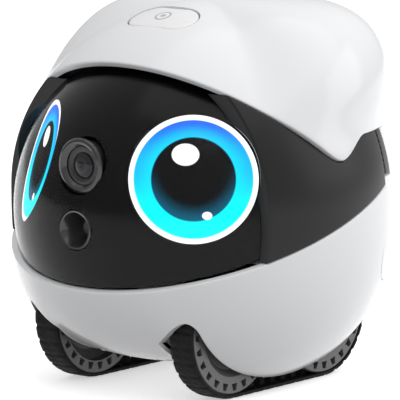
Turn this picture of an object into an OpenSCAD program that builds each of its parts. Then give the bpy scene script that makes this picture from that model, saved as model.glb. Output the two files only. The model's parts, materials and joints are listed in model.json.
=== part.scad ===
// Small tracked companion robot: a ball-shaped body on two rubber tracks.
// +Z is up, the face looks along -Y, and the origin is on the floor under the body's centre.

/* [Body] */
// Radius of the ball at its widest
body_r = 47.4; // [46.4:0.2:48.4]
// Height of the widest circle above the floor
equator_z = 46.6; // [46:0.2:48]
// Wall thickness of the white shells
wall = 1.6; // [1.4:0.1:1.8]
// Height of the ball's dome above the equator
dome_h = 46.2; // [45:0.2:47]
// Depth of the belly below the equator
belly_h = 40.5; // [39.5:0.1:41]
// Depth of the side skirts' curve below the equator
skirt_h = 47.8; // [47:0.1:48.2]

/* [Face] */
// Radius of the smoked window's sphere
window_r = 43.1; // [42.9:0.1:43.3]
// Thickness of the smoked window
window_t = 1; // [0.8:0.1:1.1]
// Where the window meets its frame, forward of the centre
frame_y = 24.6; // [24:0.1:25]
// Radius of each round eye display
eye_r = 15.4; // [14.5:0.1:15.4]
// Outer radius of the camera's ring
lens_ring_r = 6.7; // [6.3:0.1:7]
// Outer radius of the range sensor's funnel
sensor_r = 4.9; // [4.5:0.1:5.2]

/* [Tracks] */
// Distance between the front and rear axles
wheelbase = 35; // [34:0.5:35]
// Distance from the middle plane to the middle of a track
half_gauge = 21.2; // [21:0.1:21.4]
// Radius of a wheel
wheel_r = 15.5; // [15:0.1:15.6]
// Thickness of the rubber belt
belt_t = 1.1; // [0.9:0.1:1.1]
// Width of the rubber belt
belt_w = 7; // [6.5:0.1:7.2]
// Number of windows round a wheel's rim
window_count = 24; // [18:1:28]

/* [Hidden] */
$fn = 48;

gap = 0.2;                        // clearance between neighbouring covers
far = 200;                        // larger than the whole robot
dome_n = 1.9;                     // squareness of the dome's profile
belly_n = 3;                      // squareness of the belly's profile
skirt_n = 2.5;                    // squareness of the skirts' profile
profile_steps = 22;               // straight pieces in a revolved profile

axle_y = wheelbase / 2;
axle_z = wheel_r + belt_t;
belt_r = wheel_r + belt_t;
axle_r = 1.5;
well_in = 15.6;                   // inner wall of a wheel well
well_out = 26;                    // outer wall of a wheel well, where the skirt begins
well_wall = 1.4;
deck_z = 34.8;                    // underside of the deck over the wheel wells
deck_t = 1.4;

bowl_slope = 0.37;                // the bowl's rim rises this much for each mm towards the rear
bowl_z = equator_z - 2.4;         // height of the bowl's rim at the centre
cover_slope = -0.868;             // the cover's front edge falls towards the rear
cover_z = equator_z + 6.4;
tip_z = equator_z + 11;           // lowest point of the cover's side lobes
tip_y = -4.8;
rise_y = 12;                      // length of the rise behind a lobe
rise_z = 5.5;                     // and its height
shoulder_r = 46.6;                // the cover's rear half: radius, height and squareness
shoulder_h = 46.8;
shoulder_n = 4.7;
waist = 2.4;                      // how far the cover's rear draws in above its lower edge
waist_z = equator_z + 18.2;
waist_spread = 7.2;

window_y = -4.2;                  // centre of the window's sphere
window_z = equator_z - 3.9;
eye_az = 40.5;                    // each eye is turned out and up by these angles
eye_el = 18;
eye_turn = 1.6;                   // the disc itself faces this much lower than its centre lies
eye_t = 2.2;
eye_room = window_r - window_t - 0.15;
eye_dist = sqrt(pow(eye_room, 2) - pow(eye_r * cos(eye_turn), 2)) - eye_r * sin(eye_turn);
lens_z = equator_z + 10.4;
sensor_z = equator_z - 4.6;
lens_y = window_y - sqrt(pow(window_r, 2) - pow(lens_z - window_z, 2));
sensor_y = window_y - sqrt(pow(window_r, 2) - pow(sensor_z - window_z, 2));

panel_rear_y = 15.1;              // rear end of the black side panels
mesh_w = 4.6;                     // width of the speaker slot behind them
flange_t = 1.4;
window_back_y = 21.6;             // the window reaches back behind its frame to here
mesh_low_z = bowl_z + bowl_slope * (panel_rear_y + mesh_w + gap) + 0.3;
rear_low_z = 25;                  // lower edge of the rear cover
rear_corner = 7;
rear_high_z = tip_z + rise_z;

button_len = 19;                  // touch button on the crown
button_w = 10.4;
button_y = -15;
button_tilt = 10.5;
button_travel = 0.5;
floor_z = 12.6;                   // underside of the chassis plate
screw_r = 1.3;                    // belly screws
head_r = 2;
head_t = 1;
head_z = 9;
screw_x = 9;
screw_y = 24.6;

// ---- outlines and surfaces -------------------------------------------------

function smooth(t) = let(c = min(1, max(0, t))) c * c * (3 - 2 * c);
function mix(a, b, t) = a + (b - a) * t;

// Radius of a superellipse of half-width a and half-height h, at height z from its centre
function super_r(a, h, n, z) = a * pow(max(0, 1 - pow(abs(z) / h, n)), 1 / n);

// Half outline of the ball: lower curve of depth low_h, then the dome, drawn in by inset
function ball_outline(low_h, low_n, inset) =
    let(a = body_r - inset, low = low_h - inset, up = dome_h - inset)
    concat(
        [for (i = [0:profile_steps]) let(t = 90 * i / profile_steps)
            [a * pow(sin(t), 2 / low_n), equator_z - low * pow(cos(t), 2 / low_n)]],
        [for (i = [1:profile_steps]) let(t = 90 * (1 - i / profile_steps))
            [a * pow(sin(t), 2 / dome_n), equator_z + up * pow(cos(t), 2 / dome_n)]]);

module ball(low_h = belly_h, low_n = belly_n, inset = 0)
    rotate_extrude($fn = 96) polygon(ball_outline(low_h, low_n, inset));

module ball_skin(low_h, low_n, thickness, inset = 0)
    difference() {
        ball(low_h, low_n, inset);
        ball(low_h, low_n, inset + thickness);
    }

// Everything below (or above) a plane that passes through height z at the centre
module below_plane(z, slope)
    translate([0, 0, z]) rotate([atan(slope), 0, 0])
        translate([-far / 2, -far / 2, -far]) cube([far, far, far]);
module above_plane(z, slope)
    translate([0, 0, z]) rotate([atan(slope), 0, 0])
        translate([-far / 2, -far / 2, 0]) cube([far, far, far]);

module slab(low, high) translate(low) cube(high - low);
module both_sides() { children(); mirror([1, 0, 0]) children(); }
module on_side(side) if (side > 0) children(); else mirror([1, 0, 0]) children();
module along_x(x, y, z, r, len) translate([x, y, z]) rotate([0, 90, 0]) cylinder(r = r, h = len);

// ---- top cover -------------------------------------------------------------

cover_cols = 60;
cover_rows = 11;
button_cut = 0.35;

// Height of the cover's lower edge at a depth y: a sloping front, a rounded lobe and a level rear
function edge_front(y) = cover_z + cover_slope * y;
function edge_rear(y) = tip_z + rise_z * smooth((y - tip_y) / rise_y);
function cover_edge(y) = let(f = edge_front(y), b = edge_rear(y), m = max(f, b))
    m + ln(exp(f - m) + exp(b - m));

// A point on the cover's outer face, drawn in by inset; tilt is measured from straight up
function cover_point(az, tilt, inset) = let(
    s = smooth((abs(az) - 58) / 67),
    a = mix(body_r, shoulder_r, s) - inset,
    h = mix(dome_h, shoulder_h, s) - inset,
    n = mix(dome_n, shoulder_n, s),
    d = pow(pow(sin(tilt) / a, n) + pow(cos(tilt) / h, n), -1 / n),
    z = equator_z + d * cos(tilt),
    r = d * sin(tilt) - waist * s * exp(-pow((z - waist_z) / waist_spread, 2)))
    [r * sin(az), -r * cos(az), z];

// The tilt at which the outer face meets the lower edge, by halving
function edge_tilt(az, low = 5, high = 100, steps = 18) = let(
    middle = (low + high) / 2,
    p = cover_point(az, middle, 0))
    steps == 0 ? middle
        : p[2] > cover_edge(p[1]) ? edge_tilt(az, middle, high, steps - 1)
        : edge_tilt(az, low, middle, steps - 1);

function cover_skin(inset) = [for (j = [1:cover_rows], i = [0:cover_cols - 1])
    let(az = -180 + 360 * i / cover_cols) cover_point(az, edge_tilt(az) * j / cover_rows, inset)];

module cover_solid() {
    count = cover_cols * cover_rows;
    inner = count;
    poles = 2 * count;
    points = concat(cover_skin(0), cover_skin(wall), [cover_point(0, 0, 0), cover_point(0, 0, wall)]);
    function at(j, i) = j * cover_cols + i % cover_cols;
    outer_faces = [for (j = [0:cover_rows - 2], i = [0:cover_cols - 1], half = [0, 1]) half == 0
        ? [at(j, i), at(j, i + 1), at(j + 1, i + 1)] : [at(j, i), at(j + 1, i + 1), at(j + 1, i)]];
    inner_faces = [for (f = outer_faces) [inner + f[0], inner + f[2], inner + f[1]]];
    caps = [for (i = [0:cover_cols - 1], side = [0, 1]) side == 0
        ? [poles, at(0, i + 1), at(0, i)] : [poles + 1, inner + at(0, i), inner + at(0, i + 1)]];
    last = cover_rows - 1;
    rim = [for (i = [0:cover_cols - 1], half = [0, 1]) half == 0
        ? [at(last, i), at(last, i + 1), inner + at(last, i + 1)]
        : [at(last, i), inner + at(last, i + 1), inner + at(last, i)]];
    polyhedron(points, concat(outer_faces, inner_faces, caps, rim));
}

// Places children on the crown, where the touch button sits
module on_crown() {
    crown_z = equator_z + super_r(dome_h, body_r, dome_n, button_y);
    translate([0, button_y, crown_z]) rotate([button_tilt, 0, 0]) children();
}

module oval(length, width, height)
    linear_extrude(height) {
        translate([-(length - width) / 2, -width / 2]) square([length - width, width]);
        for (x = [-1, 1]) translate([x * (length - width) / 2, 0]) circle(d = width);
    }

module top_cover() color("white")
    difference() {
        cover_solid();
        on_crown() translate([0, 0, -6]) oval(button_len + 2 * button_cut, button_w + 2 * button_cut, 12);
        translate([0, 4.3, far / 2]) cylinder(r = 0.5, h = far, center = true);
    }

module touch_button() color("white")
    intersection() {
        ball(inset = 0.1);
        on_crown() translate([0, 0, -3]) oval(button_len, button_w, 12);
    }

module button_switch() color("dimgray")
    on_crown() translate([0, 0, -3 - button_travel - 2.2]) {
        cylinder(r = 1.7, h = 2);
        translate([-3, -3, -2]) cube([6, 6, 2]);
    }

// ---- bottom shell ----------------------------------------------------------

// Section of the shell outside the wheel well: its roof rises outwards to a rounded peak
// beside the skirt, which hangs outside the track
module outer_section() rotate([90, 0, 0]) linear_extrude(far, center = true)
    polygon([[well_in, 15.6], [18.6, 17.2], [21, 18.8], [23.2, 20], [24.8, 20.6], [25.6, 20.3],
        [well_out, 19.4], [well_out, -5], [far / 2, -5], [far / 2, far / 2], [well_in, far / 2]]);

// Space that the belt needs, with clearance all round
module belt_room(clear)
    rotate([90, 0, 90]) translate([0, 0, well_in]) linear_extrude(well_out - well_in) {
        translate([-axle_y, axle_z - belt_r - clear]) square([wheelbase, 2 * (belt_r + clear)]);
        for (y = [-1, 1]) translate([y * axle_y, axle_z]) circle(r = belt_r + clear, $fn = 64);
    }

// Outline of the rear cover in side view, with a rounded lower corner, drawn in by inset
module rear_outline(inset) {
    edge = panel_rear_y + inset;
    low = rear_low_z + inset;
    step_y = panel_rear_y + mesh_w + gap + inset;
    rotate([90, 0, 90]) linear_extrude(far, center = true)
        polygon(concat(
            [for (t = [0:15:90])
                [edge + rear_corner * (1 - sin(t)), low + rear_corner * (1 - cos(t))]],
            [[edge, mesh_low_z - inset], [step_y, mesh_low_z - inset], [step_y, far],
                [far, far], [far, low]]));
}

module at_screws() for (x = [-1, 1], y = [-1, 1]) translate([x * screw_x, y * screw_y, 0]) children();

module shell_bosses() intersection() {
    ball(belly_h, belly_n, wall / 2);
    at_screws() cylinder(r = 2.8, h = floor_z - 0.05);
}

// Inner walls of the wheel wells and the deck over them
module well_walls() both_sides() {
    slab([well_in - well_wall, -far / 2, 0], [well_in, far / 2, deck_z + deck_t]);
    slab([well_in - well_wall, -33, deck_z], [far, 33, deck_z + deck_t]);
}

module bottom_shell() color("gainsboro")
    difference() {
        union() {
            difference() {
                intersection() {
                    ball_skin(belly_h, belly_n, wall);
                    slab([-well_in, -far / 2, 0], [well_in, far / 2, far]);
                }
                rear_outline(0);
                above_plane(bowl_z, bowl_slope);
            }
            difference() {
                intersection() {
                    ball_skin(skirt_h, skirt_n, wall);
                    both_sides() outer_section();
                }
                rear_outline(0);
                above_plane(bowl_z, bowl_slope);
            }
            difference() {
                intersection() {
                    ball(belly_h, belly_n, wall / 2);
                    well_walls();
                }
                rear_outline(0);
                above_plane(bowl_z - 0.4, bowl_slope);
            }
            difference() {
                intersection() {
                    ball(belly_h, belly_n, wall + 0.6);
                    well_walls();
                }
                above_plane(bowl_z - 0.4, bowl_slope);
            }
            shell_bosses();
        }
        both_sides() belt_room(0.6);
        both_sides() for (y = [-axle_y, axle_y]) along_x(well_in - 3, y, axle_z, axle_r + 1, 5);
        at_screws() cylinder(r = screw_r + 0.2, h = 20);
        at_screws() cylinder(r = head_r + 0.2, h = head_z + head_t);
        for (x = [-1, 1]) translate([x * 7, 6, 0]) cylinder(r = 2.6, h = 12);
    }

// ---- side panels, rear cover and speaker slots -----------------------------

// A black side panel, with a flange in front that reaches in to the window and clears the eye
module side_panel(side) color([0.08, 0.08, 0.08]) on_side(side)
    difference() {
        intersection() {
            ball(belly_h, belly_n);
            slab([10, -frame_y, 0], [far, panel_rear_y, far]);
            above_plane(bowl_z + gap, bowl_slope);
            below_cover();
        }
        difference() {
            ball(belly_h, belly_n, wall);
            slab([0, -far, 0], [far, -frame_y + flange_t, far]);
        }
        window_sphere(window_r + 0.1);
        eye_frame(1) translate([0, 0, -12]) cylinder(r = eye_r + gap, h = 40, $fn = 96);
    }

// The space under the cover's edge, with clearance
module below_cover() rotate([90, 0, 90]) linear_extrude(far, center = true)
    polygon(concat([[-60, -60]],
        [for (y = [-60:2.4:60]) [y, cover_edge(y) - gap * 4]],
        [[60, -60]]));

module rear_cover() color("white")
    intersection() {
        ball_skin(belly_h, belly_n, wall, 0.3);
        rear_outline(gap);
        slab([-far, 0, 0], [far, far, rear_high_z - 4 * gap]);
    }

module speaker_mesh(side) color([0.03, 0.03, 0.03]) on_side(side)
    difference() {
        intersection() {
            ball_skin(belly_h, belly_n, 1, 1.2);
            slab([10, panel_rear_y + gap, mesh_low_z],
                [far, panel_rear_y + mesh_w, rear_high_z - 4 * gap]);
        }
        for (z = [mesh_low_z + 1.6:1.5:rear_high_z - 1.6], y = [1.1, 2.3, 3.5])
            along_x(20, panel_rear_y + gap + y, z, 0.4, 40);
    }

// ---- face ------------------------------------------------------------------

module window_sphere(r) translate([0, window_y, window_z]) sphere(r = r, $fn = 128);

module ahead(y, z, r, len)
    translate([0, y, z]) rotate([90, 0, 0]) cylinder(r = r, h = len, center = true);

module face_window() color([0.05, 0.05, 0.06, 0.8])
    difference() {
        window_sphere(window_r);
        window_sphere(window_r - window_t);
        slab([-far, -window_back_y, -far], [far, far, far]);
        below_plane(bowl_z + gap + 0.5, bowl_slope);
        ahead(lens_y, lens_z, lens_ring_r + 0.05, 20);
        ahead(sensor_y, sensor_z, sensor_r, 20);
    }

module eye_frame(side) on_side(side)
    translate([0, window_y, window_z]) rotate([0, 0, eye_az]) rotate([90 - eye_el, 0, 0])
        translate([0, 0, eye_dist]) rotate([eye_turn, 0, 0]) children();

module eye_display(side) color("deepskyblue")
    eye_frame(side) translate([0, 0, -eye_t]) cylinder(r = eye_r, h = eye_t, $fn = 96);

mask_t = 1.4;

module face_mask() color([0.04, 0.04, 0.04])
    difference() {
        union() {
            intersection() {
                ball(inset = wall + gap);
                slab([-far, -window_back_y + 0.1, 0], [far, -window_back_y + mask_t, far]);
                above_plane(bowl_z + gap + 0.5, bowl_slope);
            }
            for (side = [-1, 1]) intersection() {
                eye_frame(side) translate([0, 0, -far - eye_t - gap])
                    cylinder(r = eye_r - 0.4, h = far, $fn = 64);
                slab([-far, -far, 0], [far, -window_back_y + mask_t, far]);
                on_side(side) slab([7.4, -far, 0], [far, far, far]);
                above_plane(bowl_z + 1.2, bowl_slope);
                window_sphere(window_r - window_t - gap);
            }
        }
        for (side = [-1, 1]) eye_frame(side) translate([0, 0, -eye_t - gap])
            cylinder(r = eye_r + gap, h = 20, $fn = 64);
        for (side = [-1, 1]) intersection() {
            eye_frame(side) translate([0, 0, -far - eye_t - gap - 1.6])
                cylinder(r = eye_r - 2.4, h = far, $fn = 64);
            slab([-far, -frame_y - 60, 0], [far, far, far]);
            on_side(side) slab([9, -far, 0], [far, far, far]);
        }
        ahead(-frame_y, lens_z, 6.2, 40);
        ahead(-frame_y, sensor_z, sensor_r + 0.8, 40);
    }

ring_proud = 0.7;

module camera_ring() color([0.1, 0.1, 0.1])
    translate([0, lens_y - ring_proud, lens_z]) rotate([-90, 0, 0]) rotate_extrude($fn = 72)
        polygon([[lens_ring_r - 2.1, 0.9], [lens_ring_r - 1.5, 0.3], [lens_ring_r - 0.9, 0],
            [lens_ring_r - 0.3, 0.15], [lens_ring_r, 0.5], [lens_ring_r, ring_proud + 0.2],
            [lens_ring_r - 0.8, ring_proud + 0.25],
            [lens_ring_r - 0.8, 3.4], [lens_ring_r - 2.1, 3.4]]);

module camera_barrel() color([0.06, 0.06, 0.06])
    translate([0, lens_y - ring_proud, lens_z]) rotate([-90, 0, 0]) rotate_extrude($fn = 72)
        polygon([[0, 3], [3.1, 3], [3.1, 1.6], [3.9, 1.2],
            [lens_ring_r - 2.2, 1.2], [lens_ring_r - 2.2, 5],
            [5.4, 5], [5.4, 15], [0, 15]]);

module camera_lens() color([0.15, 0.15, 0.2, 0.5])
    translate([0, lens_y - ring_proud, lens_z]) rotate([-90, 0, 0]) intersection() {
        cylinder(r = 3, h = 2.9);
        translate([0, 0, 6.6]) sphere(r = 6, $fn = 96);
    }

module range_sensor() color([0.12, 0.12, 0.12])
    translate([0, sensor_y - 0.2, sensor_z]) rotate([-90, 0, 0]) rotate_extrude($fn = 64)
        polygon([[0, 5.2], [1.5, 5.2], [sensor_r - 0.7, 0.4], [sensor_r - 0.3, 0.2],
            [sensor_r - 0.1, 0.6], [sensor_r - 0.1, 9], [0, 9]]);

// ---- running gear ----------------------------------------------------------

groove_w = 2.6;                   // groove round a wheel that clears the belt's lugs
groove_d = 2.4;
lug_w = 2;
lug_h = 2;
lug_count = 9;
rim_y = half_gauge - belt_w / 2;
wheel_w = belt_w - 0.4;
dish_r = 10.6;                    // dished middle of a wheel's outer face
hub_r = 4;
boss_r = 3.2;

module wheel_at(side, y) on_side(side)
    translate([half_gauge - wheel_w / 2, y, axle_z]) rotate([0, 90, 0]) children();

// Trapezoid window in a wheel's rim, narrower outwards
module rim_window() translate([0, 0, -1])
    linear_extrude(wheel_w + 2) polygon([[12.9, -1], [12.9, 1], [14.6, 0.55], [14.6, -0.55]]);

module wheel(side, y) color([0.25, 0.25, 0.25]) wheel_at(side, y)
    difference() {
        rotate_extrude($fn = 96) polygon([
            [axle_r + 0.05, 0.2], [hub_r, 0.2], [hub_r, 3.4], [dish_r - 0.6, 3.4], [wheel_r - 3, 2.4],
            [wheel_r - 3, 0], [wheel_r - 0.05, 0], [wheel_r - 0.05, (wheel_w - groove_w) / 2],
            [wheel_r - groove_d, (wheel_w - groove_w) / 2], [wheel_r - groove_d, (wheel_w + groove_w) / 2],
            [wheel_r - 0.05, (wheel_w + groove_w) / 2], [wheel_r - 0.05, wheel_w - 0.3],
            [wheel_r - 0.35, wheel_w], [dish_r + 0.6, wheel_w],
            [dish_r - 1, wheel_w - 1.4], [hub_r, wheel_w - 1.4],
            [hub_r, wheel_w - 0.6], [axle_r + 0.05, wheel_w - 0.6]]);
        for (i = [0:window_count - 1]) rotate([0, 0, 360 / window_count * i]) rim_window();
    }

module hub_cap(side, y) color("silver") wheel_at(side, y)
    translate([0, 0, wheel_w - 0.55]) difference() {
        cylinder(r = 2.8, h = 0.9, $fn = 40);
        translate([0, 0, 0.3]) cylinder(r = 1.1, h = 2, $fn = 6);
    }

module axle(side, y, inner_x) color("silver") on_side(side)
    along_x(inner_x, y, axle_z, axle_r, half_gauge + wheel_w / 2 - 0.65 - inner_x);

module stadium(r) {
    translate([-axle_y, axle_z - r]) square([wheelbase, 2 * r]);
    for (y = [-1, 1]) translate([y * axle_y, axle_z]) circle(r = r, $fn = 96);
}

module track_belt(side) color([0.13, 0.13, 0.13]) on_side(side)
    translate([rim_y, 0, 0]) rotate([90, 0, 90]) linear_extrude(belt_w)
        difference() { stadium(belt_r); stadium(wheel_r); }

// Drive lugs on the belt's straight runs, inside the loop
module belt_lugs(side) color([0.13, 0.13, 0.13]) on_side(side) {
    lug_pitch = 360 / window_count * PI / 180 * wheel_r;
    for (i = [0:lug_count - 1], top = [0, 1])
        translate([half_gauge - lug_w / 2, (i - (lug_count - 1) / 2) * lug_pitch, axle_z])
            mirror([0, 0, top]) translate([0, 0, -wheel_r]) rotate([90, 0, 90])
                linear_extrude(lug_w) polygon([[-1, 0], [1, 0], [0.6, lug_h], [-0.6, lug_h]]);
}

// ---- inside ----------------------------------------------------------------

cell_x = well_in - well_wall - 0.4;

module chassis() color("darkslategray")
    difference() {
        union() {
            slab([-cell_x, -26.5, floor_z], [cell_x, 26.5, floor_z + 1.6]);
            both_sides() slab([cell_x - 2, -26.5, floor_z], [cell_x, 26.5, deck_z - 0.3]);
            at_screws() translate([0, 0, floor_z]) cylinder(r = 2.4, h = 6);
        }
        both_sides() for (y = [-axle_y, axle_y]) along_x(cell_x - 4, y, axle_z, axle_r + 0.05, 8);
        at_screws() cylinder(r = screw_r + 0.05, h = floor_z + 5);
        for (x = [-1, 1]) translate([x * 7, 6, 0]) cylinder(r = 1.6, h = 20);
    }

module battery_pack() color("royalblue")
    translate([0, -8, floor_z + 8]) rotate([90, 0, 0]) linear_extrude(17, center = true) {
        square([16, 12], center = true);
        for (x = [-1, 1]) translate([x * 4, 0]) square([8, 11], center = true);
    }

motor_x = 0.4;

module drive_motor(side) color("goldenrod") on_side(side)
    difference() {
        union() {
            slab([motor_x, axle_y - 5, floor_z + 1.65], [9.4, axle_y + 4.2, axle_z + 9]);
            along_x(9.4, axle_y, axle_z, 2.3, 1.6);
        }
        along_x(motor_x + 4, axle_y, axle_z, axle_r + 0.05, 20);
    }

module main_board() color("darkgreen")
    difference() {
        slab([-25, -20, deck_z + deck_t + 2.4], [25, 26, deck_z + deck_t + 4]);
        for (x = [-1, 1], y = [-16, 22]) translate([x * 21, y, 0]) cylinder(r = 1.1, h = far);
    }

module board_screws() color("silver")
    for (x = [-1, 1], y = [-16, 22]) translate([x * 21, y, deck_z + deck_t + 0.05]) {
        cylinder(r = 1, h = 4);
        translate([0, 0, 4]) cylinder(r = 1.9, h = 1.1);
    }

module speaker_driver() color("dimgray")
    translate([0, 26, equator_z + 8]) rotate([-90, 0, 0]) {
        cylinder(r = 13, h = 4);
        translate([0, 0, -5]) cylinder(r = 8, h = 5);
        translate([0, 0, 4]) cylinder(r1 = 11.5, r2 = 9, h = 2);
    }

module charge_contacts() color("gold")
    for (x = [-1, 1]) translate([x * 7, 6, 0]) {
        translate([0, 0, equator_z - belly_h - 0.1]) cylinder(r = 2.4, h = 1.2);
        translate([0, 0, equator_z - belly_h + 1])
            cylinder(r = 1.5, h = floor_z + 2 - (equator_z - belly_h + 1));
    }

module belly_screws() color("silver")
    at_screws() translate([0, 0, head_z]) difference() {
        union() {
            cylinder(r = screw_r, h = 7);
            cylinder(r = head_r, h = head_t);
        }
        translate([0, 0, -1]) cylinder(r = 0.8, h = 1.7, $fn = 6);
    }

// ---- assembly --------------------------------------------------------------

bottom_shell();
top_cover();
side_panel(1);  // side_panel_left
side_panel(-1);  // side_panel_right
rear_cover();
speaker_mesh(1);  // speaker_mesh_left
speaker_mesh(-1);  // speaker_mesh_right
face_window();
face_mask();
eye_display(1);  // eye_display_left
eye_display(-1);  // eye_display_right
camera_ring();
camera_barrel();
camera_lens();
range_sensor();
touch_button();
button_switch();
chassis();
battery_pack();
main_board();
drive_motor(1);  // drive_motor_left
drive_motor(-1);  // drive_motor_right
speaker_driver();
axle(1, -axle_y, cell_x - 3);  // front_axle_left
axle(-1, -axle_y, cell_x - 3);  // front_axle_right
axle(1, axle_y, motor_x + 5);  // rear_shaft_left
axle(-1, axle_y, motor_x + 5);  // rear_shaft_right
wheel(1, -axle_y);  // front_wheel_left
wheel(-1, -axle_y);  // front_wheel_right
wheel(1, axle_y);  // rear_wheel_left
wheel(-1, axle_y);  // rear_wheel_right
hub_cap(1, -axle_y);  // front_hub_cap_left
hub_cap(-1, -axle_y);  // front_hub_cap_right
hub_cap(1, axle_y);  // rear_hub_cap_left
hub_cap(-1, axle_y);  // rear_hub_cap_right
track_belt(1);  // track_belt_left
track_belt(-1);  // track_belt_right
belt_lugs(1);  // belt_lugs_left
belt_lugs(-1);  // belt_lugs_right
charge_contacts();
belly_screws();
board_screws();
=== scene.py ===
import json
import math

import bmesh
import bpy
import numpy as np
from mathutils import Matrix, Vector
from mathutils.bvhtree import BVHTree


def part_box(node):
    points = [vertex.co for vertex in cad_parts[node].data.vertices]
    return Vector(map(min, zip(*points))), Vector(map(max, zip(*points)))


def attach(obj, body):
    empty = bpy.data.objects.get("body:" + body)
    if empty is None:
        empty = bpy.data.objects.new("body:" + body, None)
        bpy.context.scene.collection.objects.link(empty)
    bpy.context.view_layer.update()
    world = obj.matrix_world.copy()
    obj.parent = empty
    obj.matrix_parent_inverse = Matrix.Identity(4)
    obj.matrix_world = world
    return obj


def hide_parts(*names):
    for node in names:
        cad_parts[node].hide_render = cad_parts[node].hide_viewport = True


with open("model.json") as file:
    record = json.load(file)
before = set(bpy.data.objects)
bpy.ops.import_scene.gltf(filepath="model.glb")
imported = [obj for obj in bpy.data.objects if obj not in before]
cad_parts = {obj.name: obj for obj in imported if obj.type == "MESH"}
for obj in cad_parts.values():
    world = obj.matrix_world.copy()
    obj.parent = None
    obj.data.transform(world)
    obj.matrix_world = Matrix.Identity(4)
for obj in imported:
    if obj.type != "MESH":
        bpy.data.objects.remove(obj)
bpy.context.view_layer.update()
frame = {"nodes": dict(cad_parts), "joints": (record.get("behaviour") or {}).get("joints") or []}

MM = 0.001
BODY = "robot_body"

# ---- sizes of the CAD model, in millimetres -----------------------------------

BODY_R = 47.4
EQUATOR_Z = 46.6
DOME_H, DOME_N = 46.2, 1.9
BELLY_H, BELLY_N = 40.5, 3.0
SKIRT_H, SKIRT_N = 47.8, 2.5
SHOULDER_R, SHOULDER_H, SHOULDER_N = 46.6, 46.8, 4.7
SHOULDER_AZ, SHOULDER_TURN = 58, 67
WAIST, WAIST_Z, WAIST_SPREAD = 2.4, EQUATOR_Z + 18.2, 7.2
WALL = 1.6
FAR = 100.0
GAP = 0.2
BOWL_Z, BOWL_SLOPE = EQUATOR_Z - 2.4, 0.37
COVER_Z, COVER_SLOPE = EQUATOR_Z + 6.4, -0.868
TIP_Z, TIP_Y, RISE_Y, RISE_Z = EQUATOR_Z + 11.0, -4.8, 12.0, 5.5
REAR_TOP_Z = TIP_Z + RISE_Z
WINDOW_R, WINDOW_T = 43.1, 1.0
WINDOW_C = np.array([0.0, -4.2, EQUATOR_Z - 3.9])
FRAME_Y = 24.6
PANEL_REAR_Y = 15.1
MESH_W = 4.6
MESH_LOW_Z = BOWL_Z + BOWL_SLOPE * (PANEL_REAR_Y + MESH_W + GAP) + 0.3
REAR_LOW_Z, REAR_CORNER = 25.0, 7.0
EYE_R, EYE_T, EYE_AZ, EYE_EL = 15.4, 2.2, 40.5, 18.0
EYE_TURN = 1.6
WELL_IN, WELL_OUT, WELL_WALL = 15.6, 26.0, 1.4
DECK_Z, DECK_T = 34.8, 1.4


def mm_box(node):
    """A CAD node's lowest and highest corner, in millimetres."""
    lo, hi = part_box(node)
    return np.array(lo) / MM, np.array(hi) / MM


def from_angles(azimuth, elevation):
    """A unit vector; azimuth 0 points to the front, and 90 to the robot's left."""
    a, e = math.radians(azimuth), math.radians(elevation)
    return Vector((math.sin(a) * math.cos(e), -math.cos(a) * math.cos(e), math.sin(e)))


# ---- surfaces of the body -------------------------------------------------------

def smooth(t):
    c = np.clip(t, 0.0, 1.0)
    return c * c * (3 - 2 * c)


def mix(a, b, t):
    return a + (b - a) * t


def super_r(a, h, n, z):
    return a * np.power(np.maximum(0.0, 1 - np.power(np.abs(z) / h, n)), 1 / n)


def ball_r(z, inset=0.0):
    """Radius of the upright ball at height z, for the dome and the belly."""
    d = z - EQUATOR_Z
    up = super_r(BODY_R - inset, DOME_H - inset, DOME_N, np.clip(d, 0, None))
    low = super_r(BODY_R - inset, BELLY_H - inset, BELLY_N, np.clip(d, None, 0))
    return np.where(d > 0, up, low)


def polar_r(si, co, a, h, n):
    """Distance from the centre of a superellipse to its edge, in the direction (si, co)."""
    return np.power(np.power(np.abs(si) / a, n) + np.power(np.abs(co) / h, n), -1 / n)


def halve(low, high, short, steps=40):
    """The place between low and high where short(place) turns false, by halving."""
    for _ in range(steps):
        middle = (low + high) / 2
        too_low = short(middle)
        low, high = np.where(too_low, middle, low), np.where(too_low, high, middle)
    return (low + high) / 2


def cover_edge(y):
    """Height of the cover's lower edge: a sloping front, a rounded lobe and a level rear."""
    f = COVER_Z + COVER_SLOPE * y
    b = TIP_Z + RISE_Z * smooth((y - TIP_Y) / RISE_Y)
    m = np.maximum(f, b)
    return m + np.log(np.exp(f - m) + np.exp(b - m))


def cover_point(az, tilt, inset):
    """A point on the cover; az and tilt in radians, tilt from straight up."""
    s = smooth((np.abs(np.degrees(az)) - SHOULDER_AZ) / SHOULDER_TURN)
    a = mix(BODY_R, SHOULDER_R, s) - inset
    h = mix(DOME_H, SHOULDER_H, s) - inset
    n = mix(DOME_N, SHOULDER_N, s)
    si, co = np.sin(tilt), np.cos(tilt)
    d = polar_r(si, co, a, h, n)
    z = EQUATOR_Z + d * co
    r = d * si - WAIST * s * np.exp(-np.power((z - WAIST_Z) / WAIST_SPREAD, 2))
    return np.stack([r * np.sin(az), -r * np.cos(az), z], -1)


def edge_tilt(az):
    """The tilt at which the cover's outer face comes down to its edge."""

    def above(tilt):
        p = cover_point(az, tilt, 0.0)
        return p[..., 2] > cover_edge(p[..., 1])

    return halve(np.full_like(az, math.radians(5)), np.full_like(az, math.radians(100)), above)


# ---- mesh helpers ---------------------------------------------------------------

def add_object(name, data):
    obj = bpy.data.objects.new(name, data)
    bpy.context.scene.collection.objects.link(obj)
    return obj


def mesh_from(name, verts, faces):
    """A mesh from points in millimetres."""
    mesh = bpy.data.meshes.new(name)
    points = [tuple(float(c) * MM for c in v) for v in verts]
    mesh.from_pydata(points, [], [list(map(int, f)) for f in faces])
    return mesh


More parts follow.
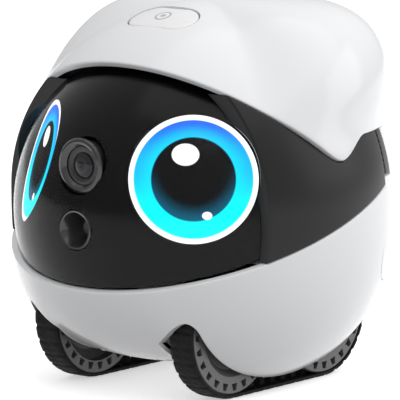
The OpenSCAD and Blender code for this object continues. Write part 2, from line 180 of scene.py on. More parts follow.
def new_object(name, verts, faces, body, material):
    """A smooth piece from points in millimetres, which rides on body."""
    mesh = mesh_from(name, verts, faces)
    mesh.validate()
    mesh.polygons.foreach_set("use_smooth", [True] * len(mesh.polygons))
    mesh.update()
    obj = add_object(name, mesh)
    mesh.materials.append(material)
    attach(obj, body)
    return obj


def grid_faces(rows, cols, wrap=False, flip=False, start=0):
    """Four-sided faces between the rows of a grid of points."""
    out = []
    for j in range(rows - 1):
        a, b = start + j * cols, start + (j + 1) * cols
        for i in range(cols if wrap else cols - 1):
            k = (i + 1) % cols
            f = (a + i, a + k, b + k, b + i)
            out.append(f[::-1] if flip else f)
    return out


def prism_faces(n):
    """Sides and ends of a prism whose two outlines have n points each."""
    sides = [(i, (i + 1) % n, n + (i + 1) % n, n + i) for i in range(n)]
    return sides + [tuple(range(n))[::-1], tuple(range(n, 2 * n))]


def lip_arc(count, start=0.0):
    """(1 - sin, 1 - cos) pairs over a quarter turn, for a rounded lip of radius 1."""
    return [(1 - math.sin(t), 1 - math.cos(t)) for t in np.linspace(start, math.pi / 2, count)]


def fillet_steps(radius, depth, count=4):
    """(offset from the seam, inset) pairs that run from the hidden side wall over a rounded lip."""
    steps = [(0.0, depth), (0.0, radius)]
    for k in range(1, count + 1):
        t = math.pi / 2 * k / count
        steps.append((radius * (1 - math.cos(t)), radius * (1 - math.sin(t))))
    return steps


def weld(obj, distance_mm):
    bm = bmesh.new()
    bm.from_mesh(obj.data)
    bmesh.ops.remove_doubles(bm, verts=bm.verts, dist=distance_mm * MM)
    bmesh.ops.dissolve_degenerate(bm, edges=bm.edges, dist=1e-6)
    bmesh.ops.recalc_face_normals(bm, faces=bm.faces)
    bm.to_mesh(obj.data)
    bm.free()
    obj.data.update()


def sharpen(obj, degrees=35):
    """Smooth shading with crisp edges."""
    mesh = obj.data
    mesh.polygons.foreach_set("use_smooth", [True] * len(mesh.polygons))
    mesh.set_sharp_from_angle(angle=math.radians(degrees))


def boolean(obj, tool, operation):
    """Cuts obj by tool for good, and keeps its own materials."""
    m = obj.modifiers.new("cut", "BOOLEAN")
    m.object, m.operation, m.solver = tool, operation, "MANIFOLD"
    dg = bpy.context.evaluated_depsgraph_get()
    made = bpy.data.meshes.new_from_object(obj.evaluated_get(dg))
    obj.modifiers.remove(m)
    kept = list(obj.data.materials)
    old, obj.data = obj.data, made
    bpy.data.meshes.remove(old)
    made.materials.clear()
    for mat in kept:
        made.materials.append(mat)
    made.polygons.foreach_set("material_index", [0] * len(made.polygons))


def tool_object(name, verts, faces):
    """A closed solid that only cuts others."""
    mesh = mesh_from(name, verts, faces)
    bm = bmesh.new()
    bm.from_mesh(mesh)
    bmesh.ops.recalc_face_normals(bm, faces=bm.faces)
    bm.to_mesh(mesh)
    bm.free()
    return add_object(name, mesh)


def prism(name, outline, low, high, axis):
    """A closed prism: outline is a list of 2-D points in the plane across axis, in cyclic order."""
    verts = []
    for h in (low, high):
        for a, b in outline:
            verts.append({"x": (h, a, b), "y": (a, h, b)}[axis])
    return tool_object(name, verts, prism_faces(len(outline)))


def discard(*objs):
    for o in objs:
        mesh = o.data
        bpy.data.objects.remove(o)
        bpy.data.meshes.remove(mesh)


def reference_normals(obj, reference, tolerance_mm=0.02):
    """Shades what is left of a cut surface with the uncut mesh's own smooth normals."""
    dg = bpy.context.evaluated_depsgraph_get()
    tree = BVHTree.FromObject(reference, dg)
    src = reference.data
    vertex_normals = [v.normal.copy() for v in src.vertices]
    polygons = [tuple(p.vertices) for p in src.polygons]
    mesh = obj.data
    found = []
    for v in mesh.vertices:
        hit, _, index, dist = tree.find_nearest(v.co)
        if hit is None or dist > tolerance_mm * MM:
            found.append(None)
            continue
        total, weight = Vector((0, 0, 0)), 0.0
        for vi in polygons[index]:
            w = 1.0 / (1e-9 + (src.vertices[vi].co - hit).length)
            total += vertex_normals[vi] * w
            weight += w
        found.append((total / weight).normalized())
    normals = []
    for poly in mesh.polygons:
        fn = poly.normal
        for vi in poly.vertices:
            n = found[vi]
            normals.append(tuple(n) if n is not None and n.dot(fn) > 0.8 else tuple(fn))
    mesh.polygons.foreach_set("use_smooth", [True] * len(mesh.polygons))
    mesh.normals_split_custom_set(normals)
    mesh.update()


# ---- materials ------------------------------------------------------------------

def material(name, color, rough, metallic=0.0, coat=0.0, coat_rough=0.05, bump=0.0, bump_scale=2000.0,
             rough_spread=0.04, rough_scale=120.0, edge=0.0, specular=0.5):
    """A principled material whose roughness and fine surface come from noise."""
    m = bpy.data.materials.new(name)
    m.use_nodes = True
    nt = m.node_tree
    b = nt.nodes["Principled BSDF"]
    b.inputs["Base Color"].default_value = (*color, 1.0)
    b.inputs["Metallic"].default_value = metallic
    b.inputs["Coat Weight"].default_value = coat
    b.inputs["Coat Roughness"].default_value = coat_rough
    b.inputs["Specular IOR Level"].default_value = specular
    coords = nt.nodes.new("ShaderNodeTexCoord")
    noise = nt.nodes.new("ShaderNodeTexNoise")
    noise.inputs["Scale"].default_value = rough_scale
    noise.inputs["Detail"].default_value = 3.0
    nt.links.new(coords.outputs["Object"], noise.inputs["Vector"])
    spread = nt.nodes.new("ShaderNodeMapRange")
    spread.inputs["To Min"].default_value = max(0.0, rough - rough_spread)
    spread.inputs["To Max"].default_value = min(1.0, rough + rough_spread)
    nt.links.new(noise.outputs["Fac"], spread.inputs["Value"])
    nt.links.new(spread.outputs["Result"], b.inputs["Roughness"])
    normal = None
    if edge:
        bevel = nt.nodes.new("ShaderNodeBevel")
        bevel.samples = 4
        bevel.inputs["Radius"].default_value = edge
        normal = bevel.outputs["Normal"]
    if bump:
        fine = nt.nodes.new("ShaderNodeTexNoise")
        fine.inputs["Scale"].default_value = bump_scale
        fine.inputs["Detail"].default_value = 2.0
        nt.links.new(coords.outputs["Object"], fine.inputs["Vector"])
        bn = nt.nodes.new("ShaderNodeBump")
        bn.inputs["Strength"].default_value = bump
        bn.inputs["Distance"].default_value = 0.0002
        nt.links.new(fine.outputs["Fac"], bn.inputs["Height"])
        if normal is not None:
            nt.links.new(normal, bn.inputs["Normal"])
        normal = bn.outputs["Normal"]
    if normal is not None:
        nt.links.new(normal, b.inputs["Normal"])
    return m


def nodes_of(m):
    nt = m.node_tree
    return nt, nt.nodes["Principled BSDF"], nt.nodes, nt.links


def math_node(nt, operation, *values):
    """A maths node; each value is a number or another node's output."""
    n = nt.nodes.new("ShaderNodeMath")
    n.operation = operation
    for i, v in enumerate(values):
        if isinstance(v, (int, float)):
            n.inputs[i].default_value = v
        else:
            nt.links.new(v, n.inputs[i])
    return n.outputs[0]


def vector_node(nt, operation, vector, fixed=None):
    """A vector maths node on vector, with a fixed second vector where the operation takes one."""
    n = nt.nodes.new("ShaderNodeVectorMath")
    n.operation = operation
    nt.links.new(vector, n.inputs[0])
    if fixed is not None:
        n.inputs[1].default_value = tuple(fixed)
    return n


def length_node(nt, a, b):
    """The length of (a, b)."""
    squares = [math_node(nt, "MULTIPLY", v, v) for v in (a, b)]
    return math_node(nt, "SQRT", math_node(nt, "ADD", *squares))


def split_node(nt, vector):
    n = nt.nodes.new("ShaderNodeSeparateXYZ")
    nt.links.new(vector, n.inputs[0])
    return n.outputs


def step_node(nt, value, edge, softness):
    """1 where value is below edge, with a soft border."""
    n = nt.nodes.new("ShaderNodeMapRange")
    n.interpolation_type = "SMOOTHSTEP"
    n.inputs["From Min"].default_value = edge - softness
    n.inputs["From Max"].default_value = edge + softness
    n.inputs["To Min"].default_value = 1.0
    n.inputs["To Max"].default_value = 0.0
    nt.links.new(value, n.inputs["Value"])
    return n.outputs["Result"]


def mix_color(nt, factor, a, b):
    n = nt.nodes.new("ShaderNodeMix")
    n.data_type = "RGBA"
    nt.links.new(factor, n.inputs[0])
    for socket, v in ((n.inputs[6], a), (n.inputs[7], b)):
        if isinstance(v, tuple):
            socket.default_value = (*v, 1.0)
        else:
            nt.links.new(v, socket)
    return n.outputs[2]


SHELL_WHITE = material("gloss_white_shell", (0.78, 0.785, 0.80), 0.24, coat=0.35, coat_rough=0.06,
                       rough_spread=0.02, edge=0.00025)
BUTTON_WHITE = material("gloss_white_button", (0.80, 0.80, 0.81), 0.28, coat=0.3, rough_spread=0.02)
FRAME_BLACK = material("satin_black_frame", (0.006, 0.006, 0.0065), 0.33, coat=0.1, coat_rough=0.25,
                       rough_spread=0.03, edge=0.0002, specular=0.25)
MASK_BLACK = material("matte_black_mask", (0.004, 0.004, 0.004), 0.7)
MESH_BLACK = material("speaker_mesh_black", (0.01, 0.01, 0.01), 0.6, bump=0.3)
TRIM_BLACK = material("polished_black_trim", (0.018, 0.018, 0.02), 0.22, coat=0.4, rough_spread=0.03)
BARREL_BLACK = material("camera_barrel_black", (0.01, 0.01, 0.011), 0.35)
INNER_GREY = material("moulded_dark_grey", (0.05, 0.052, 0.056), 0.55, bump=0.15)
WHEEL_GREY = material("satin_grey_wheel", (0.115, 0.115, 0.118), 0.42, bump=0.08, rough_spread=0.06,
                      edge=0.00015)
HUB_DARK = material("dark_hub_cap", (0.03, 0.03, 0.032), 0.35)
BELT_RUBBER = material("moulded_belt_rubber", (0.009, 0.009, 0.0095), 0.6, bump=0.35, bump_scale=5200.0,
                       rough_spread=0.08, edge=0.0002, specular=0.12)
STEEL = material("turned_steel", (0.55, 0.55, 0.57), 0.3, metallic=1.0, rough_scale=400.0)
BRASS = material("plated_contact", (0.75, 0.58, 0.28), 0.25, metallic=1.0)
BOARD = material("board_solder_mask", (0.012, 0.11, 0.05), 0.4, bump=0.1)
BATTERY = material("battery_wrap", (0.03, 0.07, 0.28), 0.35)
GEARBOX = material("gear_case", (0.62, 0.47, 0.12), 0.45)


def smoked_glass():
    """Dark see-through plastic with a clear gloss on top."""
    m = bpy.data.materials.new("smoked_window")
    m.use_nodes = True
    nt = m.node_tree
    nt.nodes.remove(nt.nodes["Principled BSDF"])
    out = nt.nodes["Material Output"]
    tint = nt.nodes.new("ShaderNodeBsdfTransparent")
    tint.inputs["Color"].default_value = (0.85, 0.855, 0.87, 1.0)
    haze = nt.nodes.new("ShaderNodeBsdfPrincipled")
    haze.inputs["Base Color"].default_value = (0.012, 0.012, 0.013, 1.0)
    haze.inputs["Specular IOR Level"].default_value = 0.0
    coords = nt.nodes.new("ShaderNodeTexCoord")
    noise = nt.nodes.new("ShaderNodeTexNoise")
    noise.inputs["Scale"].default_value = 60.0
    spread = nt.nodes.new("ShaderNodeMapRange")
    spread.inputs["To Min"].default_value = 0.15
    spread.inputs["To Max"].default_value = 0.16
    nt.links.new(coords.outputs["Object"], noise.inputs["Vector"])
    nt.links.new(noise.outputs["Fac"], spread.inputs["Value"])
    nt.links.new(spread.outputs["Result"], haze.inputs["Roughness"])
    gloss = nt.nodes.new("ShaderNodeBsdfGlossy")
    gloss.inputs["Color"].default_value = (1, 1, 1, 1)
    nt.links.new(spread.outputs["Result"], gloss.inputs["Roughness"])
    fresnel = nt.nodes.new("ShaderNodeFresnel")
    fresnel.inputs["IOR"].default_value = 1.26
    body = nt.nodes.new("ShaderNodeMixShader")
    body.inputs[0].default_value = 0.06
    nt.links.new(tint.outputs[0], body.inputs[1])
    nt.links.new(haze.outputs[0], body.inputs[2])
    top = nt.nodes.new("ShaderNodeMixShader")
    nt.links.new(fresnel.outputs[0], top.inputs[0])
    nt.links.new(body.outputs[0], top.inputs[1])
    nt.links.new(gloss.outputs[0], top.inputs[2])
    nt.links.new(top.outputs[0], out.inputs["Surface"])
    return m


def eye_matrix(side):
    """Frame of an eye display in millimetres: Z outwards, X to the viewer's right, Y up."""
    az, turn = math.radians(EYE_AZ) * side, math.radians(EYE_TURN)
    out = from_angles(EYE_AZ * side, EYE_EL - EYE_TURN)
    right = Vector((math.cos(az), math.sin(az), 0))
    up = out.cross(right)
    m = Matrix((right, up, out)).transposed().to_4x4()
    room = WINDOW_R - WINDOW_T - 0.15
    distance = math.sqrt(room ** 2 - (EYE_R * math.cos(turn)) ** 2) - EYE_R * math.sin(turn)
    m.translation = Vector(WINDOW_C) + from_angles(EYE_AZ * side, EYE_EL) * distance
    return m


def inner_print():
    """The window's inner skin: a black print with a clear round opening over each eye."""
    m = material("window_inner_print", (0.004, 0.004, 0.0045), 0.5)
    nt, b, nodes, links = nodes_of(m)
    b.inputs["Specular IOR Level"].default_value = 0.0
    coords = nodes.new("ShaderNodeTexCoord")
    shut = None
    for side in (1, -1):
        eye = eye_matrix(side)
        centre, axis = eye.translation * MM, eye.to_3x3() @ Vector((0, 0, 1))
        away = vector_node(nt, "SUBTRACT", coords.outputs["Object"], centre).outputs["Vector"]
        across = vector_node(nt, "CROSS_PRODUCT", away, axis).outputs["Vector"]
        size = vector_node(nt, "LENGTH", across).outputs["Value"]
        outside = math_node(nt, "GREATER_THAN", size, (EYE_R + EYE_OPENING) * MM)
        facing = vector_node(nt, "DOT_PRODUCT", away, axis).outputs["Value"]
        behind = math_node(nt, "LESS_THAN", facing, -PRINT_DEPTH * MM)
        this = math_node(nt, "MAXIMUM", outside, behind)
        shut = this if shut is None else math_node(nt, "MINIMUM", shut, this)
    clear = nodes.new("ShaderNodeBsdfTransparent")
    clear.inputs["Color"].default_value = (0.93, 0.93, 0.94, 1.0)
    both = nodes.new("ShaderNodeMixShader")
    links.new(shut, both.inputs[0])
    links.new(clear.outputs[0], both.inputs[1])
    links.new(b.outputs[0], both.inputs[2])
    links.new(both.outputs[0], nodes["Material Output"].inputs["Surface"])
    return m


EYE_OPENING = 0.3
PRINT_DEPTH = 4.0
WINDOW_GLASS = smoked_glass()
WINDOW_INSIDE = inner_print()


def lens_glass():
    """Dark glass with a small pupil and one faint ring round it."""
    m = material("coated_lens", (0.03, 0.03, 0.045), 0.06, coat=0.15, coat_rough=0.02, rough_spread=0.01,
                 specular=0.2)
    nt, b, nodes, links = nodes_of(m)
    place = split_node(nt, nodes["Texture Coordinate"].outputs["Object"])
    lo, hi = mm_box("camera_lens")
    middle_z = float(lo[2] + hi[2]) / 2 * MM
    r = length_node(nt, place["X"], math_node(nt, "SUBTRACT", place["Z"], middle_z))
    inner = step_node(nt, r, 0.0011, 0.00005)
    ring = step_node(nt, r, 0.0019, 0.00006)
    c1 = mix_color(nt, ring, (0.020, 0.020, 0.024), (0.034, 0.034, 0.042))
    c2 = mix_color(nt, inner, c1, (0.012, 0.012, 0.016))
    links.new(c2, b.inputs["Base Color"])
    return m


LENS = lens_glass()


EYE_GLOW = 1.65


def eye_graphic():
    """The lit eye: a white ring, a blue to cyan iris, a dark pupil and two highlights."""
    m = bpy.data.materials.new("eye_screen")
    m.use_nodes = True
    nt, b, nodes, links = nodes_of(m)
    coords = nodes.new("ShaderNodeTexCoord")
    place = split_node(nt, coords.outputs["Object"])
    scale = 1 / (EYE_R * MM)
    x = math_node(nt, "MULTIPLY", place["X"], scale)
    y = math_node(nt, "MULTIPLY", place["Y"], scale)

    def ellipse(cx, cy, rx, ry):
        dx = math_node(nt, "DIVIDE", math_node(nt, "SUBTRACT", x, cx), rx)
        dy = math_node(nt, "DIVIDE", math_node(nt, "SUBTRACT", y, cy), ry)
        return length_node(nt, dx, dy)

    r = ellipse(0.0, 0.0, 1.0, 1.0)
    ramp = nodes.new("ShaderNodeValToRGB")
    ramp.color_ramp.interpolation = "EASE"
    links.new(math_node(nt, "MULTIPLY_ADD", y, 0.55, 0.5), ramp.inputs["Fac"])
    ramp.color_ramp.elements[0].position = 0.12
    ramp.color_ramp.elements[0].color = (0.0, 1.0, 1.0, 1.0)
    ramp.color_ramp.elements[1].position = 1.0
    ramp.color_ramp.elements[1].color = (0.018, 0.14, 1.0, 1.0)
    mid = ramp.color_ramp.elements.new(0.62)
    mid.color = (0.01, 0.47, 1.0, 1.0)
    rim_light = step_node(nt, ellipse(0.0, 0.0, 0.76, 0.76), 1.0, 0.16)
    inner_light = math_node(nt, "MULTIPLY", rim_light, 0.55)
    iris = mix_color(nt, inner_light, ramp.outputs["Color"], (0.0, 0.82, 1.0))
    pupil_low = ellipse(0.0, 0.12, 0.60, 0.60)
    glow_edge = nodes.new("ShaderNodeMapRange")
    glow_edge.interpolation_type = "SMOOTHSTEP"
    glow_edge.inputs["From Min"].default_value = 0.78
    glow_edge.inputs["From Max"].default_value = 1.30
    links.new(pupil_low, glow_edge.inputs["Value"])
    below = step_node(nt, y, -0.02, 0.34)
    glow = math_node(nt, "MULTIPLY", glow_edge.outputs["Result"], below)
    pupil = mix_color(nt, glow, (0.001, 0.001, 0.0012), (0.004, 0.10, 0.17))
    disc = step_node(nt, r, 0.648, 0.012)
    color = mix_color(nt, disc, iris, pupil)
    white = step_node(nt, r, 0.912, 0.008)
    color = mix_color(nt, white, (1.0, 1.0, 1.0), color)
    for cx, cy, rx, ry in ((-0.12, 0.38, 0.21, 0.17), (0.205, -0.56, 0.078, 0.062)):
        color = mix_color(nt, step_node(nt, ellipse(cx, cy, rx, ry), 1.0, 0.04), color, (1.0, 1.0, 1.0))
    b.inputs["Base Color"].default_value = (0.002, 0.002, 0.002, 1.0)
    b.inputs["Roughness"].default_value = 0.5
    b.inputs["Specular IOR Level"].default_value = 0.0
    links.new(color, b.inputs["Emission Color"])
    b.inputs["Emission Strength"].default_value = EYE_GLOW
    return m


EYE_SCREEN = eye_graphic()


# ---- top cover ------------------------------------------------------------------

COLS = 360


def cover_mesh():
    """Rings from the crown to the rounded lower lip, and back up the inside."""
    az = np.linspace(-math.pi, math.pi, COLS, endpoint=False)
    edge = edge_tilt(az)
    lip = 0.45
    rows = [(f, 0.0, 0.0) for f in np.linspace(0.012, 1.0, 96)[:-1] * 0.985]
    rows += [(1.0, lip * a, lip * b) for a, b in lip_arc(6)]
    rows += [(1.0, 0.0, WALL)]
    rows += [(f, 0.0, WALL) for f in np.linspace(0.985, 0.012, 40)]
    points = []
    for fraction, offset, inset in rows:
        points.append(cover_point(az, edge * fraction - offset / BODY_R, inset))
    verts = np.concatenate(points)
    faces = grid_faces(len(rows), COLS, wrap=True)
    top = len(verts)
    verts = np.concatenate([verts, [[0, 0, EQUATOR_Z + DOME_H], [0, 0, EQUATOR_Z + DOME_H - WALL]]])
    last = (len(rows) - 1) * COLS
    for i in range(COLS):
        faces.append((top, (i + 1) % COLS, i))
        faces.append((top + 1, last + i, last + (i + 1) % COLS))
    return verts, faces


def crown_frame():
    """Where the touch button sits: a matrix in millimetres, with Z out of the crown."""
    button = next(j for j in frame["joints"] if j["name"] == "button_press")
    up = -Vector(button["axis"]).normalized()
    lo, hi = mm_box("touch_button")
    side = Vector((1, 0, 0))
    fore = up.cross(side).normalized()
    y = (lo[1] + hi[1]) / 2
    z = EQUATOR_Z + float(super_r(DOME_H, BODY_R, DOME_N, np.array(y)))
    m = Matrix((side, fore, up)).transposed().to_4x4()
    m.translation = Vector((0, y, z))
    return m


def oval(length, width, steps=96):
    half = (length - width) / 2
    pts = []
    for k in range(steps):
        t = 2 * math.pi * k / steps
        c, s = math.cos(t), math.sin(t)
        pts.append((c * width / 2 + (half if c > 0 else -half), s * width / 2))
    return pts


def transform(m, pts):
    return [tuple(m @ Vector(p)) for p in pts]


BUTTON_LEN, BUTTON_W, BUTTON_PLAY = 19.0, 10.4, 0.7
MIC_Y = 4.3
CROWN = crown_frame()


def oval_prism(name, length, width, low, high):
    ring = oval(length, width)
    verts = transform(CROWN, [(x, y, low) for x, y in ring] + [(x, y, high) for x, y in ring])
    return tool_object(name, verts, prism_faces(len(ring)))


def cylinder_tool(name, centre, axis, radius, low, high, steps=96):
    axis = Vector(axis).normalized()
    side = axis.orthogonal().normalized()
    up = axis.cross(side)
    verts = []
    for h in (low, high):
        for i in range(steps):
            t = 2 * math.pi * i / steps
            spoke = side * radius * math.cos(t) + up * radius * math.sin(t)
            verts.append(Vector(centre) + axis * h + spoke)
    return tool_object(name, verts, prism_faces(steps))


def closed(obj):
    """Welds a piece's seams and turns its faces outwards."""
    weld(obj, 0.0005)
    return obj


def cut_piece(obj, tools):
    """Applies each (tool, operation) to obj, then gives what is left its smooth shading back."""
    reference = add_object("reference", obj.data.copy())
    reference.data.update()
    bpy.context.view_layer.update()
    for tool, operation in tools:
        boolean(obj, tool, operation)
    bpy.context.view_layer.update()
    reference_normals(obj, reference)
    discard(reference, *[t for t, _ in tools])
    return obj


verts, faces = cover_mesh()
top_cover = closed(new_object("cover_shell", verts, faces, BODY, SHELL_WHITE))
cut_piece(top_cover, [
    (oval_prism("tool_button", BUTTON_LEN + BUTTON_PLAY, BUTTON_W + BUTTON_PLAY, -6.0, 6.0), "DIFFERENCE"),
    (cylinder_tool("tool_mic", (0, MIC_Y, 80), (0, 0, 1), 0.5, 0, 20, 24), "DIFFERENCE"),
])
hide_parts("top_cover")


def button_mesh():
    """The touch button: oval rings on the crown, with a rounded lip and a skirt below."""
    lip, skirt, base_z = 0.3, 2.0, -2.4
    rings = [(f, 0.0, 0.0) for f in np.linspace(0.08, 1.0, 18)[:-1] * 0.97]
    rings += [(1.0, lip * a, lip * b) for a, b in lip_arc(5)]
    rings += [(1.0, 0.0, skirt)]
    base = oval(BUTTON_LEN, BUTTON_W, 120)
    n = len(base)
    flat, drop = [], []
    for f, offset, depth in rings:
        k = f * (1 - offset / (BUTTON_W / 2))
        flat += [(x * k, y * k, 0) for x, y in base]
        drop += [depth] * n
    world = np.array(transform(CROWN, flat))
    up = np.array(CROWN.to_3x3() @ Vector((0, 0, 1)))

    def inside(height):
        p = world + up * height[:, None]
        return np.hypot(p[:, 0], p[:, 1]) < ball_r(p[:, 2], 0.1)

    surface = halve(np.full(len(world), -4.0), np.full(len(world), 3.0), inside)
    verts = world + up * (surface - np.array(drop))[:, None]
    centre = np.array(CROWN.translation)
    verts[-n:] += np.outer(base_z - (verts[-n:] - centre) @ up, up)
    verts = np.concatenate([verts, [centre]])
    faces = grid_faces(len(rings), n, wrap=True)
    top = len(verts) - 1
    for step in np.linspace(3, -4, 200):
        q = centre + up * step
        if math.hypot(q[0], q[1]) < float(ball_r(np.array(q[2]), 0.1)):
            verts[top] = q
            break
    faces += [(top, (i + 1) % n, i) for i in range(n)]
    last = (len(rings) - 1) * n
    faces.append(tuple(last + i for i in range(n)))
    return verts, faces


def button_material():
    """White plastic with a faint printed ring and dot in the middle of the button."""
    m = BUTTON_WHITE
    nt, b, nodes, links = nodes_of(m)
    coords = nodes["Texture Coordinate"]
    offset = vector_node(nt, "SUBTRACT", coords.outputs["Object"], CROWN.translation * MM)
    place = split_node(nt, offset.outputs[0])
    r = length_node(nt, place["X"], place["Y"])
    ring = math_node(nt, "SUBTRACT", step_node(nt, r, 0.0021, 0.00008), step_node(nt, r, 0.0016, 0.00008))
    dot = step_node(nt, r, 0.0007, 0.00008)
    both = math_node(nt, "MAXIMUM", ring, dot)
    links.new(mix_color(nt, both, (0.80, 0.80, 0.81), (0.40, 0.40, 0.42)), b.inputs["Base Color"])
    return m


verts, faces = button_mesh()
button = closed(new_object("button_cap", verts, faces, "crown_button", button_material()))
sharpen(button, 50)
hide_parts("touch_button")

# ---- bottom shell ---------------------------------------------------------------


def slope_tool(name, z, slope, above):
    """A large wedge above or below the plane through height z at the centre."""
    far = 120.0
    outline = [(-far, z - slope * far), (far, z + slope * far)]
    outline += [(far, z + far + slope * far), (-far, z + far - slope * far)] if above else \
        [(far, z - far), (-far, z - far - 2 * slope * far)]
    return prism(name, outline, -far, far, "x")


BLEND_X, BLEND_W = 13.0, 12.0


def bowl_point(az, tilt, inset):
    """The bowl and its skirts: the belly's profile blends into the deeper skirts at the sides."""
    si, co = np.sin(tilt), np.cos(tilt)
    a = BODY_R - inset
    up = polar_r(si, co, a, DOME_H - inset, DOME_N)
    x = BODY_R * np.abs(np.sin(az)) * si
    for _ in range(4):
        s = smooth((x - BLEND_X) / BLEND_W)
        low = polar_r(si, co, a, mix(BELLY_H, SKIRT_H, s) - inset, mix(BELLY_N, SKIRT_N, s))
        d = np.where(co > 0, up, low)
        x = d * si * np.abs(np.sin(az))
    return np.stack([d * si * np.sin(az), -d * si * np.cos(az), EQUATOR_Z + d * co], -1)


def bowl_rim(az):
    """The tilt at which the bowl's outer face meets the plane of its rim."""

    def above(tilt):
        p = bowl_point(az, tilt, 0.0)
        return p[..., 2] > BOWL_Z + BOWL_SLOPE * p[..., 1]

    return halve(np.full_like(az, math.radians(40)), np.full_like(az, math.radians(130)), above)


def bowl_mesh():
    """Rings from the rounded rim down the outside to the belly, and back up the inside."""
    az = np.linspace(-math.pi, math.pi, COLS, endpoint=False)
    rim = bowl_rim(az)
    lip = 0.35
    bottom = math.pi - 0.01
    rows = [(0.0, 0.0, WALL)]
    rows += [(0.0, lip * b, lip * a) for a, b in lip_arc(5)]
    rows += [(f, 0.0, 0.0) for f in np.linspace(0.0, 1.0, 120)[2:]]
    inner = [(f, 0.0, WALL) for f in np.linspace(1.0, 0.0, 120)[:-2]]
    points = []
    for fraction, offset, inset in rows + inner:
        points.append(bowl_point(az, mix(rim, bottom, fraction) + offset / BODY_R, inset))
    verts = np.concatenate(points)
    n_outer, n_inner = len(rows), len(inner)
    faces = grid_faces(n_outer, COLS, wrap=True)
    faces += grid_faces(n_inner, COLS, wrap=True, start=n_outer * COLS)
    last = (n_outer + n_inner - 1) * COLS
    for i in range(COLS):
        k = (i + 1) % COLS
        faces.append((last + i, last + k, k, i))
    top = len(verts)
    verts = np.concatenate([verts, [[0, 0, EQUATOR_Z - BELLY_H], [0, 0, EQUATOR_Z - BELLY_H + WALL]]])
    for i in range(COLS):
        k = (i + 1) % COLS
        faces.append((top, (n_outer - 1) * COLS + i, (n_outer - 1) * COLS + k))
        faces.append((top + 1, n_outer * COLS + k, n_outer * COLS + i))
    return verts, faces


def spline(points, per=10):
    """A smooth curve through points."""
    pts = [np.array(p, float) for p in points]
    out = []
    for i in range(len(pts) - 1):
        p0, p1, p2, p3 = pts[max(0, i - 1)], pts[i], pts[i + 1], pts[min(len(pts) - 1, i + 2)]
        for t in np.linspace(0, 1, per, endpoint=False):
            square = 2 * p0 - 5 * p1 + 4 * p2 - p3
            cube = 3 * p1 - p0 - 3 * p2 + p3
            out.append(tuple(0.5 * (2 * p1 + (p2 - p0) * t + square * t * t + cube * t ** 3)))
    out.append(tuple(pts[-1]))
    return out


WELL_ROOF = [(WELL_IN, 14.9), (17.0, 15.9), (18.6, 17.1), (20.2, 18.5), (21.8, 19.7), (23.2, 20.5),
             (24.3, 20.7), (25.2, 20.2), (25.8, 19.2), (WELL_OUT, 18.0)]


def well_tool(name, side):
    outline = [(side * x, z) for x, z in [(WELL_IN, -8.0)] + spline(WELL_ROOF) + [(WELL_OUT, -8.0)]]
    return prism(name, outline, -60.0, 60.0, "y")


def rear_outline(inset):
    """Side view of the rear cover, drawn in by inset; FAR stands for the open sides."""
    edge, low = PANEL_REAR_Y + inset, REAR_LOW_Z + inset
    step_y, step_z = PANEL_REAR_Y + MESH_W + GAP + inset, MESH_LOW_Z - inset
    pts = [(edge + REAR_CORNER * (1 - math.sin(t)), low + REAR_CORNER * (1 - math.cos(t)))
           for t in np.linspace(0, math.pi / 2, 13)]
    return pts + [(edge, step_z), (step_y, step_z), (step_y, FAR), (FAR, FAR), (FAR, low)]


SCREW_HEAD_R, CONTACT_R = 2.0, 2.4
HOLE_PLAY = 0.2


def screw_places():
    _, hi = mm_box("belly_screws")
    x, y = hi[0] - SCREW_HEAD_R, hi[1] - SCREW_HEAD_R
    return [(sx * x, sy * y) for sx in (-1, 1) for sy in (-1, 1)]


verts, faces = bowl_mesh()
bowl = closed(new_object("bowl_shell", verts, faces, BODY, SHELL_WHITE))
tools = [well_tool("tool_well_left", 1), well_tool("tool_well_right", -1),
         prism("tool_rear", rear_outline(0.0), -FAR, FAR, "x")]
for k, (x, y) in enumerate(screw_places()):
    tools.append(cylinder_tool(f"tool_screw_{k}", (x, y, 0), (0, 0, 1), SCREW_HEAD_R + HOLE_PLAY, 0, 14, 40))
contact_lo, contact_hi = mm_box("charge_contacts")
for side in (-1, 1):
    place = (side * (contact_hi[0] - CONTACT_R), (contact_lo[1] + contact_hi[1]) / 2, 0)
    tools.append(cylinder_tool(f"tool_contact_{side}", place, (0, 0, 1), CONTACT_R + HOLE_PLAY, 0, 12, 40))
cut_piece(bowl, [(tool, "DIFFERENCE") for tool in tools])
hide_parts("bottom_shell")


def shell_middle():
    """A closed ball that runs through the middle of the shell's wall."""
    az = np.linspace(-math.pi, math.pi, 180, endpoint=False)
    tilts = np.linspace(0.02, math.pi - 0.02, 90)
    inset = WALL * 0.5
    pts = np.concatenate([bowl_point(az, np.full_like(az, t), inset) for t in tilts])
    n, cols = len(pts), len(az)
    faces = grid_faces(len(tilts), cols, wrap=True)
    pts = np.concatenate([pts, [[0, 0, EQUATOR_Z + DOME_H - inset], [0, 0, EQUATOR_Z - BELLY_H + inset]]])
    last = n - cols
    for i in range(cols):
        faces.append((n, (i + 1) % cols, i))
        faces.append((n + 1, last + i, last + (i + 1) % cols))
    return pts, faces


